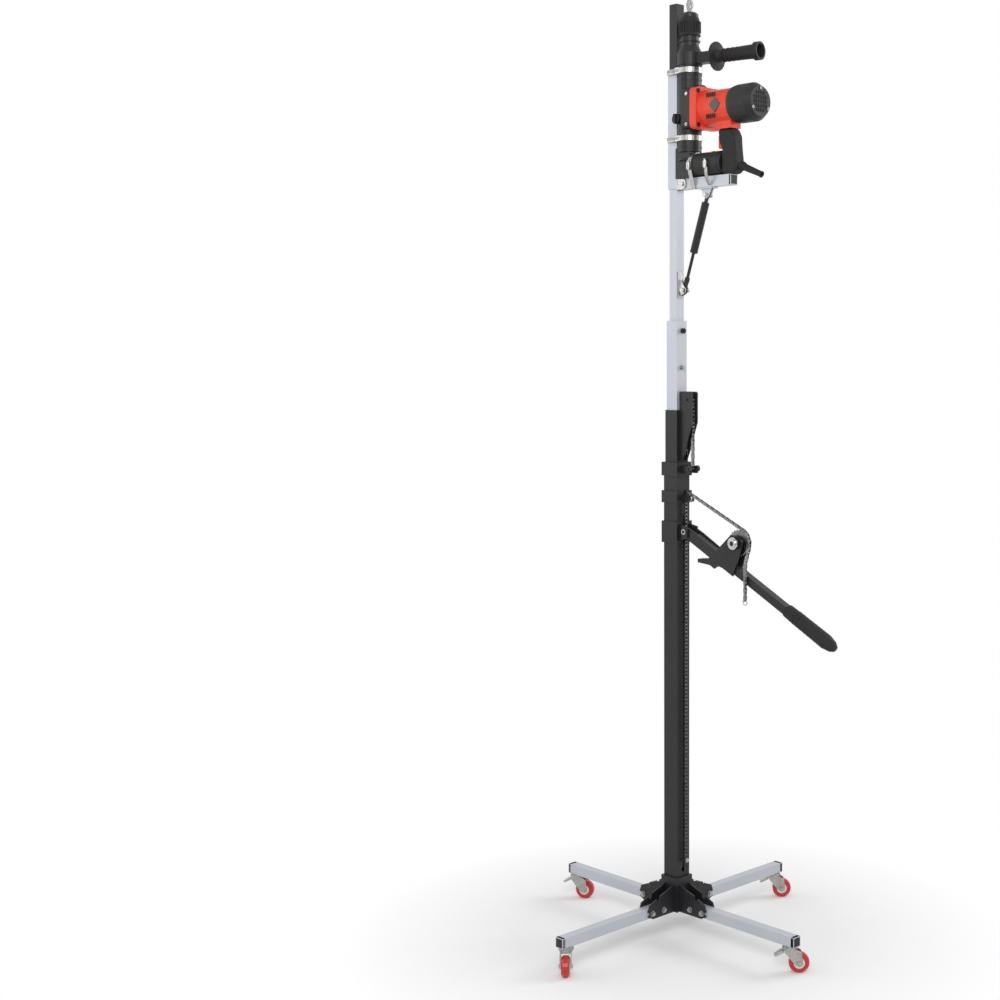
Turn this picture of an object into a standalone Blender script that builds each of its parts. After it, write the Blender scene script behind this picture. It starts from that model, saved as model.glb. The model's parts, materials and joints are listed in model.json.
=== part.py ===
"""Overhead core drill rig: a rotary hammer on a chain-lifted telescopic mast with four folding caster legs.

Metres, +Z up. The origin is the middle of the hub's underside. +X is the side of the lever, the support arm
and the drill's motor. Each moving body hangs from an empty on its joint's axis.
"""

import math

import bmesh
import bpy
from mathutils import Matrix, Vector

# Fits
RUN = 0.0003          # gap between faces that touch
SLIDE = 0.0005        # gap on each side of a sliding tube
PIN_RUN = 0.0003      # radial gap of a pin in its hole

# Telescopic column
OUTER_W = 0.045
WALL = 0.002
OUTER_TOP = 1.140
MID_TOP = 1.271
MID_FOOT = 0.110
INNER_TOP = 1.491
INNER_FOOT = 0.125
MAST_W = 0.025
MAST_TOP = 2.253
MAST_PAINT = 2.035    # where the black upper length of the mast starts
MAST_FOOT = 1.330
LIFT = 0.600
MID_W = OUTER_W - 2 * (WALL + SLIDE)
INNER_W = MID_W - 2 * (WALL + SLIDE)
SLEEVE_W = MAST_W + 2 * (WALL + SLIDE)
SLOT_W = 0.009
BOLT_R = 0.0035

# Base
LEG_W = 0.025
LEG_WALL = 0.0018
LEG_REACH = 0.400     # column axis to the leg's end
LEG_PIVOT = 0.064
LEG_FLOOR = 0.002     # height of the leg's underside
HUB_WALL = 0.005
HUB_TOP = 0.088
CHEEK = 0.004
CHEEK_REACH = 0.118
CASTER_IN = 0.022     # leg's end to the caster's stem
CASTER_H = 0.066
WHEEL_R = 0.025
WHEEL_W = 0.020
TRAIL = 0.022
AXLE_R = 0.004
FORK_T = 0.0025

# Chain drive
CHAIN_W = 0.0085
CHAIN_T = 0.0070
PULLEY_R = 0.012      # to the chain's centre line
PULLEY_W = 0.005
PULLEY_Z = 1.053
SPROCKET_R = 0.034
TOP_PULLEY_Z = 1.297
TAIL = 0.150

# Lever
LEVER_Z = 0.971
LEVER_X = 0.044
LEVER_SLOPE = math.radians(27)
LEVER_LEN = 0.400     # pivot to the start of the grip
LEVER_W = 0.020
GRIP_LEN = 0.160
GRIP_R = 0.017
RATCHET_ALONG = 0.155
RATCHET_UP = 0.062
PLATE_GAP = LEVER_W + 2 * RUN
PLATE_T = 0.004

# Carriage, arm and strut
SLEEVE_LOW = 1.811
SLEEVE_TOP = 2.098
ARM_W = 0.025
ARM_Z = 1.821
ARM_END = 0.190
STRUT_TOP = Vector((0.104, 0, 1.790))
STRUT_FOOT = Vector((0.027, 0, 1.565))
STRUT_R = 0.0095
STRUT_LEN = 0.123
ROD_R = 0.004
LUG_T = 0.005
EAR_T = 0.0025
STRUT_PIN_R = 0.003
OPEN_PLAY = 0.0022    # play of the rod's lower eye, the pivot where the linkage is open

# Rotary hammer
BARREL_R = 0.029
MOTOR_R = 0.041
MOTOR_Z = 1.994
CAP_R = 0.045
MOTOR_FACE = 0.043    # drill axis to the motor's flange
FLANGE_T = 0.021
MOTOR_LEN = 0.092
CAP_LEN = 0.072
COLLAR_Z = 2.102
COLLAR_H = 0.030
NOSE_Z = 2.216
CHUCK_R = 0.0265
CHUCK_H = 0.044
SPINDLE_R = 0.019
BIT_R = 0.009
BIT_UP = 0.125
SHANK_R = 0.005
GRIP_T = 0.034
HANDLE_TURN = math.radians(9)
BAND_H = 0.012
BAND_T = 0.0014

DRILL_X = SLEEVE_W / 2 + RUN + BARREL_R
ARM_TOP = ARM_Z + ARM_W / 2
LOWER_R = 0.029
LOWER_Z = ARM_TOP + RUN + LOWER_R
GROUND = LEG_FLOOR - CASTER_H


def clear_scene():
    for obj in list(bpy.data.objects):
        bpy.data.objects.remove(obj, do_unlink=True)


def material(name, colour, roughness, metallic=0.0):
    made = bpy.data.materials.get(name)
    if made:
        return made
    made = bpy.data.materials.new(name)
    made.use_nodes = True
    shader = made.node_tree.nodes["Principled BSDF"]
    shader.inputs["Base Color"].default_value = (*colour, 1)
    shader.inputs["Roughness"].default_value = roughness
    shader.inputs["Metallic"].default_value = metallic
    return made


def black_paint():
    return material("black_paint", (0.02, 0.02, 0.022), 0.45)


def silver_paint():
    return material("silver_paint", (0.72, 0.74, 0.78), 0.35, 0.4)


def zinc():
    return material("zinc", (0.62, 0.62, 0.6), 0.3, 1.0)


def red_plastic():
    return material("red_plastic", (0.85, 0.09, 0.04), 0.4)


def black_plastic():
    return material("black_plastic", (0.02, 0.02, 0.02), 0.55)


def rubber():
    return material("rubber", (0.015, 0.015, 0.016), 0.8)


def chain_steel():
    return material("chain_steel", (0.10, 0.10, 0.11), 0.35, 1.0)


def red_tyre():
    return material("red_tyre", (0.6, 0.03, 0.03), 0.5)


# Shapes -----------------------------------------------------------------------------------------------------

def finish_mesh(bm, name):
    bmesh.ops.remove_doubles(bm, verts=bm.verts, dist=1e-7)
    bmesh.ops.recalc_face_normals(bm, faces=bm.faces)
    mesh = bpy.data.meshes.new(name)
    bm.to_mesh(mesh)
    bm.free()
    mesh.shade_smooth()
    mesh.set_sharp_from_angle(angle=math.radians(35))
    return mesh


def prism(outline, low, high, axis="Z"):
    """A closed outline in the plane across the axis, drawn out from low to high along it."""
    places = {"Z": lambda a, b, t: (a, b, t), "Y": lambda a, b, t: (a, t, b), "X": lambda a, b, t: (t, a, b)}
    bm = bmesh.new()
    face = bm.faces.new([bm.verts.new(places[axis](a, b, low)) for a, b in outline])
    along = Vector(places[axis](0, 0, high - low))
    grown = bmesh.ops.extrude_face_region(bm, geom=[face])
    verts = [item for item in grown["geom"] if isinstance(item, bmesh.types.BMVert)]
    bmesh.ops.translate(bm, verts=verts, vec=along)
    return finish_mesh(bm, "prism")


def block(low, high):
    bm = bmesh.new()
    bmesh.ops.create_cube(bm, size=1)
    low, high = Vector(low), Vector(high)
    bmesh.ops.scale(bm, verts=bm.verts, vec=high - low)
    bmesh.ops.translate(bm, verts=bm.verts, vec=(low + high) / 2)
    return finish_mesh(bm, "block")


def turned(profile, axis="Z", steps=24, at=(0, 0, 0)):
    """A solid of revolution. The profile is (radius, height) points, and closes on the axis or on itself."""
    bm = bmesh.new()
    verts = [bm.verts.new((r, 0, h)) for r, h in profile]
    edges = [bm.edges.new(pair) for pair in zip(verts, verts[1:])]
    if profile[0][0] > 0:
        edges.append(bm.edges.new((verts[-1], verts[0])))
    bmesh.ops.spin(
        bm, geom=verts + edges, cent=(0, 0, 0), axis=(0, 0, 1), angle=math.tau, steps=steps, use_merge=True
    )
    bmesh.ops.remove_doubles(bm, verts=bm.verts, dist=1e-6)
    turn = {"Z": Matrix(), "Y": Matrix.Rotation(-math.pi / 2, 4, "X"), "X": Matrix.Rotation(math.pi / 2, 4, "Y")}
    bmesh.ops.transform(bm, matrix=Matrix.Translation(at) @ turn[axis], verts=bm.verts)
    return finish_mesh(bm, "turned")


def rod(radius, low, high, axis="Z", at=(0, 0, 0), steps=16):
    return turned([(0, low), (radius, low), (radius, high), (0, high)], axis, steps, at)


def pipe(radius, bore, low, high, axis="Z", at=(0, 0, 0), steps=24):
    return turned([(bore, low), (radius, low), (radius, high), (bore, high)], axis, steps, at)


def square_tube(width, wall, low, high):
    """An upright square tube, open at both ends."""
    bm = bmesh.new()
    rings = []
    for half in (width / 2, width / 2 - wall):
        for level in (low, high):
            corners = ((-half, -half), (half, -half), (half, half), (-half, half))
            rings.append([bm.verts.new((x, y, level)) for x, y in corners])
    outer_low, outer_high, inner_low, inner_high = rings
    for first, second in (
        (outer_low, outer_high), (outer_high, inner_high), (inner_high, inner_low), (inner_low, outer_low)
    ):
        for i in range(4):
            j = (i + 1) % 4
            bm.faces.new((first[i], first[j], second[j], second[i]))
    return finish_mesh(bm, "square_tube")


def arc(centre, radius, start, end, steps):
    """Points on an arc, from one angle to the other, in degrees."""
    angles = [math.radians(start + (end - start) * i / steps) for i in range(steps + 1)]
    return [(centre[0] + radius * math.cos(a), centre[1] + radius * math.sin(a)) for a in angles]


# Objects ----------------------------------------------------------------------------------------------------

def place(name, mesh, paint, parent=None, at=(0, 0, 0), turn=(0, 0, 0)):
    obj = bpy.data.objects.new(name, mesh)
    bpy.context.scene.collection.objects.link(obj)
    obj.location = at
    obj.rotation_euler = turn
    obj.parent = parent
    mesh.materials.clear()
    mesh.materials.append(paint)
    return obj


def pivot(name, at, parent=None, turn=(0, 0, 0)):
    """An empty on a joint's axis, at a place given in its parent's frame."""
    empty = bpy.data.objects.new(name, None)
    bpy.context.scene.collection.objects.link(empty)
    empty.empty_display_size = 0.03
    empty.location = at
    empty.rotation_euler = turn
    empty.parent = parent
    return empty


def shape_with(obj, operation, meshes, at=(0, 0, 0), turn=(0, 0, 0)):
    """Adds or cuts meshes that are given in the object's own frame."""
    for mesh in meshes:
        helper = bpy.data.objects.new(f"{obj.name}_{operation.lower()}", mesh)
        bpy.context.scene.collection.objects.link(helper)
        helper.parent = obj
        helper.location = at
        helper.rotation_euler = turn
        helper.hide_render = True
        helper.display_type = "WIRE"
        change = obj.modifiers.new(operation.title(), "BOOLEAN")
        change.operation = operation
        change.solver = "EXACT"
        change.object = helper
    return obj


def add(obj, *meshes):
    return shape_with(obj, "UNION", meshes)


def cut(obj, *meshes):
    return shape_with(obj, "DIFFERENCE", meshes)


def soften(obj, width, segments=2, angle=40):
    rounding = obj.modifiers.new("Bevel", "BEVEL")
    rounding.width = width
    rounding.segments = segments
    rounding.limit_method = "ANGLE"
    rounding.angle_limit = math.radians(angle)
    return obj


# Base -------------------------------------------------------------------------------------------------------

def cheek_outline():
    """Side view of a leg cheek, with the two notches that hold the leg's lock pin."""
    root = OUTER_W / 2 + HUB_WALL - 0.001
    top = LEG_FLOOR + LEG_W
    notch = 0.005
    return [
        (root, 0), (CHEEK_REACH - 0.016, 0), (CHEEK_REACH, top * 0.3),
        (CHEEK_REACH - 0.010, top * 0.45), (CHEEK_REACH - 0.010, top * 0.45 + notch), (CHEEK_REACH, top * 0.75),
        (CHEEK_REACH - 0.006, top + 0.010), (LEG_PIVOT + 0.024, top + 0.020),
        (LEG_PIVOT + 0.020, top + 0.014), (LEG_PIVOT + 0.014, top + 0.014), (LEG_PIVOT + 0.012, top + 0.026),
        (LEG_PIVOT - 0.008, top + 0.032), (root, HUB_TOP - 0.018),
    ]


def make_hub():
    socket = OUTER_W / 2 + RUN
    half = socket + HUB_WALL
    hub = place("hub", block((-half, -half, 0), (half, half, HUB_TOP)), black_paint())
    cut(hub, block((-socket, -socket, 0.004), (socket, socket, HUB_TOP + 0.01)))
    inner = LEG_W / 2 + SLIDE
    cheeks = []
    for side in (1, -1):
        near, far = sorted((side * inner, side * (inner + CHEEK)))
        cheeks.append(prism(cheek_outline(), near, far, "Y"))
        cheeks.append(prism([(-x, z) for x, z in cheek_outline()], near, far, "Y"))
        cheeks.append(prism(cheek_outline(), near, far, "X"))
        cheeks.append(prism([(-y, z) for y, z in cheek_outline()], near, far, "X"))
    return add(hub, *cheeks)


def make_leg(name, turn):
    """A folding leg. Its empty is on the fold's axis, and the leg runs out along the empty's +X."""
    root = Matrix.Rotation(turn, 4, "Z") @ Vector((LEG_PIVOT, 0, LEG_FLOOR + LEG_W / 2))
    fold = pivot(f"{name}_leg_fold", root, turn=(0, 0, turn))
    tube = square_tube(LEG_W, LEG_WALL, -0.014, LEG_REACH - LEG_PIVOT)
    place(f"{name}_leg", tube, silver_paint(), fold, turn=(0, math.pi / 2, 0))
    return fold


def fork_outline():
    drop = CASTER_H - WHEEL_R
    return [
        (-0.013, -0.0075), (-0.013, -0.014), (TRAIL - 0.009, -drop - 0.004), (TRAIL, -drop - 0.008),
        (TRAIL + 0.009, -drop - 0.004), (TRAIL + 0.006, -0.016), (0.016, -0.0075),
    ]


def make_caster(name, fold, heading):
    """A swivel caster under the leg's end, trailing towards the heading, which is measured from the leg."""
    stem = LEG_REACH - LEG_PIVOT - CASTER_IN
    top = -LEG_W / 2 - RUN
    swivel = pivot(f"{name}_swivel", (stem, 0, top), fold, (0, 0, heading))
    cheek = WHEEL_W / 2 + 0.0015
    fork = place(f"{name}_fork", rod(0.017, -0.010, 0, steps=16), zinc(), swivel)
    sides = [prism(fork_outline(), side, side + FORK_T, "Y") for side in (cheek, -cheek - FORK_T)]
    crown = block((-0.013, -cheek - FORK_T, -0.0125), (0.016, cheek + FORK_T, -0.007))
    axle = rod(AXLE_R, -cheek - 0.005, cheek + 0.005, "Y", (TRAIL, 0, -CASTER_H + WHEEL_R + RUN), 10)
    add(fork, crown, *sides, axle)
    hub = pivot(f"{name}_axle", (TRAIL, 0, -CASTER_H + WHEEL_R + RUN), swivel)
    half, bore = WHEEL_W / 2, AXLE_R + PIN_RUN
    profile = [(bore, -half), (0.021, -half), (WHEEL_R, -half + 0.004), (WHEEL_R, half - 0.004), (0.021, half),
               (bore, half)]
    place(f"{name}_wheel", turned(profile, "Y", 20), red_tyre(), hub)
    brake = pivot(f"{name}_brake_hinge", (-0.015, 0, -0.0125), swivel)
    side = [(0.0012, 0.0015), (0.0012, -0.003), (-0.020, -0.013), (-0.023, -0.010), (-0.006, 0.0015)]
    pedal = prism(side, -0.009, 0.009, "Y")
    place(f"{name}_brake", pedal, zinc(), brake)


# Column and chain lift --------------------------------------------------------------------------------------

def make_column():
    half = OUTER_W / 2
    column = place("outer_column", square_tube(OUTER_W, WALL, 0.004 + RUN, OUTER_TOP), black_paint())
    return cut(column, block((half - WALL - 0.001, -SLOT_W / 2, MID_FOOT - 0.010),
                             (half + 0.001, SLOT_W / 2, PULLEY_Z - 0.040)))


def clamp_collar(name, low, high, bore):
    """A square collar that is clamped round a tube of the bore's width."""
    half = bore / 2 + RUN
    wall = 0.004
    collar = place(name, square_tube(2 * (half + wall), wall, low, high), black_paint())
    return collar


def make_column_clamp():
    """The collar on top of the outer column, with the stud that holds the upper chain's fixed end."""
    clamp = clamp_collar("column_clamp", OUTER_TOP - 0.032, OUTER_TOP + 0.002, OUTER_W)
    face = OUTER_W / 2 + 0.004
    ear = upper_strand() + 0.006
    ears = block((face - 0.001, -0.0125, OUTER_TOP - 0.024), (ear, -0.0085, OUTER_TOP - 0.006))
    far = block((face - 0.001, 0.0085, OUTER_TOP - 0.024), (ear, 0.0125, OUTER_TOP - 0.006))
    stud = rod(0.0025, -0.020, 0.020, "Y", (upper_strand(), 0, OUTER_TOP - 0.013), 12)
    knobs = [rod(0.008, low, low + 0.007, "Y", (upper_strand(), 0, OUTER_TOP - 0.013), 12)
             for low in (-0.0185, 0.0115)]
    return add(clamp, ears, far, stud, *knobs)


def chain_line():
    """X of the lift chain's centre line, outside the column's face."""
    return OUTER_W / 2 + 0.009


def upper_strand():
    """X of the strand that runs from the column's clamp up to the top pulley."""
    return chain_line() + 2 * PULLEY_R


def make_lever_bracket():
    """The collar with two cheeks that the lever swings between."""
    bracket = clamp_collar("lever_bracket", LEVER_Z - 0.030, LEVER_Z + 0.024, OUTER_W)
    face = OUTER_W / 2 + 0.0035
    cheek = [(face, LEVER_Z - 0.026), (LEVER_X + 0.010, LEVER_Z - 0.014), (LEVER_X + 0.012, LEVER_Z + 0.012),
             (face, LEVER_Z + 0.018)]
    inner = PLATE_GAP / 2 + PLATE_T + RUN
    sides = [prism(cheek, side, side + PLATE_T, "Y") for side in (inner, -inner - PLATE_T)]
    bolt = rod(0.004, -inner - PLATE_T - 0.004, inner + PLATE_T + 0.004, "Y", (LEVER_X, 0, LEVER_Z), 12)
    window = block((OUTER_W / 2, -0.0075, LEVER_Z - 0.040), (OUTER_W / 2 + 0.006, 0.0075, LEVER_Z + 0.040))
    return add(cut(bracket, window), *sides, bolt)


def make_pulley_bracket():
    """Two ears on a clamped collar, with the pin that the guide pulley turns on."""
    bracket = clamp_collar("pulley_bracket", PULLEY_Z - 0.012, PULLEY_Z + 0.018, OUTER_W)
    face = OUTER_W / 2 + 0.0035
    reach = chain_line() + PULLEY_R + 0.008
    inner = CHAIN_W / 2 + 0.002
    ears = [block((face, side, PULLEY_Z - 0.008), (reach, side + 0.003, PULLEY_Z + 0.008))
            for side in (inner, -inner - 0.003)]
    pin = rod(0.003, -inner - 0.006, inner + 0.006, "Y", (chain_line() + PULLEY_R, 0, PULLEY_Z), 12)
    window = block((OUTER_W / 2, -inner, PULLEY_Z - 0.020), (chain_line() - 0.0045, inner, PULLEY_Z + 0.030))
    return add(cut(bracket, window), *ears, pin)


def grooved_pulley(radius, bore):
    """A toothless guide wheel, thin enough to sit between the chain's links."""
    body = radius - CHAIN_T / 2 - RUN
    return pipe(body, bore, -PULLEY_W / 2, PULLEY_W / 2, "Y", steps=24)


def strip(points, name, paint, parent=None, at=(0, 0, 0)):
    """A chain run as a plain band of the chain's width along a line of (x, z) points."""
    corners = ((1, -1), (1, 1), (-1, 1), (-1, -1))
    bm = bmesh.new()
    rings = []
    for i in range(len(points)):
        spots = [(shifted(points, i, side * CHAIN_T / 2), y * CHAIN_W / 2) for side, y in corners]
        rings.append([bm.verts.new((x, y, z)) for (x, z), y in spots])
    for first, second in zip(rings, rings[1:]):
        for k in range(4):
            bm.faces.new((first[k], first[k - 1], second[k - 1], second[k]))
    bm.faces.new(rings[0])
    bm.faces.new(rings[-1])
    return place(name, finish_mesh(bm, name), paint, parent, at)


def shifted(points, index, side):
    """The point of a line, moved sideways from it."""
    before = Vector(points[max(index - 1, 0)])
    after = Vector(points[min(index + 1, len(points) - 1)])
    along = (after - before).normalized()
    return (points[index][0] - along.y * side, points[index][1] + along.x * side)


def make_lift_chain(mid):
    """The run from the anchor at the middle column's foot up to the guide pulley."""
    foot = MID_FOOT + 0.012
    chain = strip([(chain_line(), foot), (chain_line(), PULLEY_Z - 0.001)], "lift_chain", chain_steel(), mid)
    anchor = rod(0.0032, MID_W / 2 + RUN, chain_line(), "X", (0, 0, foot + 0.010), 12)
    head = rod(0.006, chain_line() + CHAIN_T / 2 - 0.001, chain_line() + CHAIN_T / 2 + 0.004, "X",
               (0, 0, foot + 0.010), 6)
    return add(chain, anchor, head)


def make_mid(mid):
    column = place("mid_column", square_tube(MID_W, WALL, MID_FOOT, MID_TOP), black_paint(), mid)
    half = MID_W / 2
    cut(column, block((half - WALL - 0.001, -SLOT_W / 2, MID_TOP - 0.118), (half + 0.001, SLOT_W / 2, MID_TOP + 0.01)))
    bottom = OUTER_TOP + 0.004
    inner = CHAIN_W / 2 + 0.003
    reach = upper_strand() + CHAIN_T / 2 + 0.004
    face = half + RUN
    outline = [(face, bottom + 0.004), (face + 0.006, bottom), (chain_line() + 0.004, bottom + 0.020),
               (reach, TOP_PULLEY_Z - 0.055), (reach, TOP_PULLEY_Z + 0.016), (reach - 0.004, TOP_PULLEY_Z + 0.020),
               (face, TOP_PULLEY_Z + 0.020)]
    bracket = place("top_bracket", prism(outline, -inner - 0.003, -inner, "Y"), black_paint(), mid)
    back = block((face, -inner - 0.003, MID_TOP - 0.100), (face + 0.003, inner + 0.003, TOP_PULLEY_Z + 0.020))
    pin = rod(0.003, -inner - 0.006, inner + 0.006, "Y", (chain_line() + PULLEY_R, 0, TOP_PULLEY_Z), 12)
    add(bracket, prism(outline, inner, inner + 0.003, "Y"), back, pin)
    make_lift_chain(mid)


def make_pulleys(mid):
    guide = pivot("guide_pulley_axle", (chain_line() + PULLEY_R, 0, PULLEY_Z))
    place("guide_pulley", grooved_pulley(PULLEY_R, 0.003 + PIN_RUN), zinc(), guide)
    top = pivot("top_pulley_axle", (chain_line() + PULLEY_R, 0, TOP_PULLEY_Z), mid)
    place("top_pulley", grooved_pulley(PULLEY_R, 0.003 + PIN_RUN), zinc(), top)


def make_upper_chain(mid):
    """The second stage's chain: clamp, over the top pulley, and down beside the middle column's slot."""
    centre = (chain_line() + PULLEY_R, TOP_PULLEY_Z)
    foot = OUTER_TOP - 0.013 + 0.0032 + 0.001
    over = arc(centre, PULLEY_R, 0, 180, 12)
    points = [(upper_strand(), foot)] + over + [(chain_line(), OUTER_TOP + 0.012)]
    return strip(points, "upper_chain", chain_steel(), mid)


def make_inner(inner):
    column = place("inner_column", square_tube(INNER_W, WALL, INNER_FOOT, INNER_TOP), silver_paint(), inner)
    mast = place("mast", square_tube(MAST_W, WALL, MAST_FOOT, MAST_PAINT), silver_paint(), inner)
    place("mast_upper", square_tube(MAST_W, WALL, MAST_PAINT + RUN, MAST_TOP), black_paint(), inner)
    half = INNER_W / 2
    level = INNER_TOP - 0.025
    hole = rod(BOLT_R + PIN_RUN, -half - 0.01, half + 0.01, "X", (0, 0, level), 12)
    cut(column, hole)
    cut(mast, hole)
    bolt_mesh = rod(BOLT_R, -half - 0.012, half + 0.012, "X", steps=12)
    bolt = place("mast_bolt", bolt_mesh, black_plastic(), inner, (0, 0, level))
    heads = [rod(0.0065, low, low + 0.009, "X", steps=6) for low in (half + RUN, -half - 0.009 - RUN)]
    add(bolt, *heads)
    make_strut_foot(inner)


def make_strut_foot(inner):
    """Two ears on a back plate, with the pin through the strut's lower eye."""
    face = MAST_W / 2 + RUN
    gap = LUG_T / 2 + 0.001
    x, z = STRUT_FOOT.x, STRUT_FOOT.z
    ear = [(face, z - 0.016), (x, z - 0.009), (x + 0.008, z - 0.004), (x + 0.008, z + 0.005), (face, z + 0.030)]
    foot = place("strut_foot", block((face, -0.010, z - 0.018), (face + 0.003, 0.010, z + 0.045)), zinc(), inner)
    ears = [prism(ear, side, side + EAR_T, "Y") for side in (gap, -gap - EAR_T)]
    pin = rod(STRUT_PIN_R, -gap - EAR_T - 0.003, gap + EAR_T + 0.003, "Y", (x, 0, z), 12)
    return add(foot, *ears, pin)


# Carriage ---------------------------------------------------------------------------------------------------

def make_carriage(carriage):
    place("carriage_sleeve", square_tube(SLEEVE_W, WALL, SLEEVE_LOW, SLEEVE_TOP), silver_paint(), carriage)
    face = SLEEVE_W / 2 + RUN
    start = face + 0.004
    half = ARM_W / 2
    pin_x = face + 0.018
    tube = square_tube(ARM_W, WALL, start, ARM_END)
    arm = place("support_arm", tube, silver_paint(), carriage, (0, 0, ARM_Z), (0, math.pi / 2, 0))
    cut(arm, rod(0.005 + PIN_RUN, -half - 0.01, half + 0.01, "Y", (0, 0, pin_x), 12))
    hinge = place("arm_hinge", block((face, -0.0165, ARM_Z - half), (face + 0.003, 0.0165, ARM_Z + half)), zinc(), carriage)
    outline = [(face, ARM_Z - half), (pin_x, ARM_Z - half)] + arc((pin_x, ARM_Z), half, -90, 90, 8) + [(face, ARM_Z + half)]
    inner = half + RUN
    cheeks = [prism(outline[:1] + outline[2:-2] + outline[-1:], side, side + 0.003, "Y") for side in (inner, -inner - 0.003)]
    pin = rod(0.005, -inner - 0.006, inner + 0.006, "Y", (pin_x, 0, ARM_Z), 12)
    add(hinge, *cheeks, pin)
    make_strut_head(carriage)


def make_strut_head(carriage):
    """The bracket under the arm that the strut hangs from."""
    top = ARM_Z - ARM_W / 2 - RUN
    gap = LUG_T / 2 + 0.0005
    x, z = STRUT_TOP.x, STRUT_TOP.z
    ear = [(x - 0.018, top), (x - 0.007, z - 0.004), (x, z - 0.008), (x + 0.007, z - 0.004), (x + 0.018, top)]
    head = place("strut_head", block((x - 0.024, -0.011, top - 0.003), (x + 0.024, 0.011, top)), silver_paint(), carriage)
    ears = [prism(ear, side, side + EAR_T, "Y") for side in (gap, -gap - EAR_T)]
    pin = rod(STRUT_PIN_R, -gap - EAR_T - 0.003, gap + EAR_T + 0.003, "Y", (x, 0, z), 12)
    return add(head, *ears, pin)


def strut_turn():
    reach = STRUT_TOP - STRUT_FOOT
    return math.atan2(reach.x, reach.z)


def make_strut(cylinder, piston):
    """Gas strut along its empties' -Z. The cylinder hangs from its upper eye, and the rod slides in it."""
    neck = 0.020
    foot = (STRUT_TOP - STRUT_FOOT).length
    end = -neck - STRUT_LEN
    bore = ROD_R + PIN_RUN
    stroke = 0.078
    body = place("strut_cylinder", turned(
        [(0, -neck), (STRUT_R, -neck), (STRUT_R, end), (bore, end), (bore, end + stroke), (0, end + stroke)], steps=20
    ), black_paint(), cylinder)
    eye = rod(0.007, -LUG_T / 2, LUG_T / 2, "Y", steps=16)
    lug = block((-0.004, -LUG_T / 2, -neck - 0.002), (0.004, LUG_T / 2, 0))
    add(body, eye, lug)
    cut(body, rod(STRUT_PIN_R + PIN_RUN, -0.01, 0.01, "Y", steps=12))
    shoe_low = -foot + 0.020
    rod_mesh = rod(ROD_R, shoe_low, end + 0.018, steps=12)
    piston_rod = place("strut_rod", rod_mesh, zinc(), piston)
    shoe = rod(0.0065, shoe_low, shoe_low + 0.012, steps=12)
    tongue = block((-0.005, -LUG_T / 2, -foot + 0.006), (0.005, LUG_T / 2, shoe_low + 0.002))
    ring = rod(0.0085, -LUG_T / 2, LUG_T / 2, "Y", (0, 0, -foot), 20)
    add(piston_rod, ring, shoe, tongue)
    cut(piston_rod, rod(STRUT_PIN_R + OPEN_PLAY, -0.01, 0.01, "Y", (0, 0, -foot), 16))


def band_outline(radius, half, reach, grow):
    """A strap round a circle at the origin and a square tube whose far side is at -reach."""
    lean = math.degrees(math.asin((radius - half) / reach)) if radius > half else 0
    curve = arc((0, 0), radius + grow, -90 - lean, 90 + lean, 16)
    return curve + [(-reach - grow, half + grow), (-reach - grow, -half - grow)]


def make_band(name, parent, at, turn, radius, half, reach):
    outer = prism(band_outline(radius, half, reach, BAND_T + RUN), -BAND_H / 2, BAND_H / 2)
    inner = prism(band_outline(radius, half, reach, RUN), -BAND_H, BAND_H)
    band = place(name, outer, zinc(), parent, at, turn)
    cut(band, inner)
    return band


def make_bands(carriage):
    reach = DRILL_X + SLEEVE_W / 2
    half = SLEEVE_W / 2
    for name, level in (("upper_hose_clamp", COLLAR_Z - 0.012), ("lower_hose_clamp", 1.929)):
        make_band(name, carriage, (DRILL_X, 0, level), (0, 0, 0), BARREL_R, half, reach)
    drop = LOWER_Z - (ARM_Z - ARM_W / 2)
    turn = (0, -math.pi / 2, 0)
    make_band("grip_hose_clamp", carriage, (DRILL_X + 0.026, 0, LOWER_Z), turn, LOWER_R, ARM_W / 2, drop)


# Rotary hammer ----------------------------------------------------------------------------------------------

def make_housing(carriage):
    """The gear and crank housing: an upright barrel, the gearcase behind the motor, and the crank foot."""
    low = LOWER_Z + 0.034
    barrel = turned([(0, low), (BARREL_R, low), (BARREL_R, COLLAR_Z), (0, COLLAR_Z)], steps=24)
    housing = place("gear_housing", barrel, black_plastic(), carriage, (DRILL_X, 0, 0))
    depth = MOTOR_FACE - RUN
    case = prism(rounded(0, MOTOR_Z + 0.003, 0.036, 0.048, 0.010), 0.004, depth, "X")
    dome = rod(0.030, 0.012, depth - 0.004, "X", (0, 0.004, MOTOR_Z + 0.030), 24)
    foot = block((-BARREL_R + 0.001, -0.021, ARM_TOP + RUN), (0.020, 0.021, low + 0.010))
    return add(housing, case, dome, foot)


def rounded(y, z, half_y, half_z, radius):
    """A rectangle with round corners, as (y, z) points."""
    points = []
    for sy, sz, start in ((1, 1, 0), (-1, 1, 90), (-1, -1, 180), (1, -1, 270)):
        points += arc((y + sy * (half_y - radius), z + sz * (half_z - radius)), radius, start, start + 90, 4)
    return points


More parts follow.
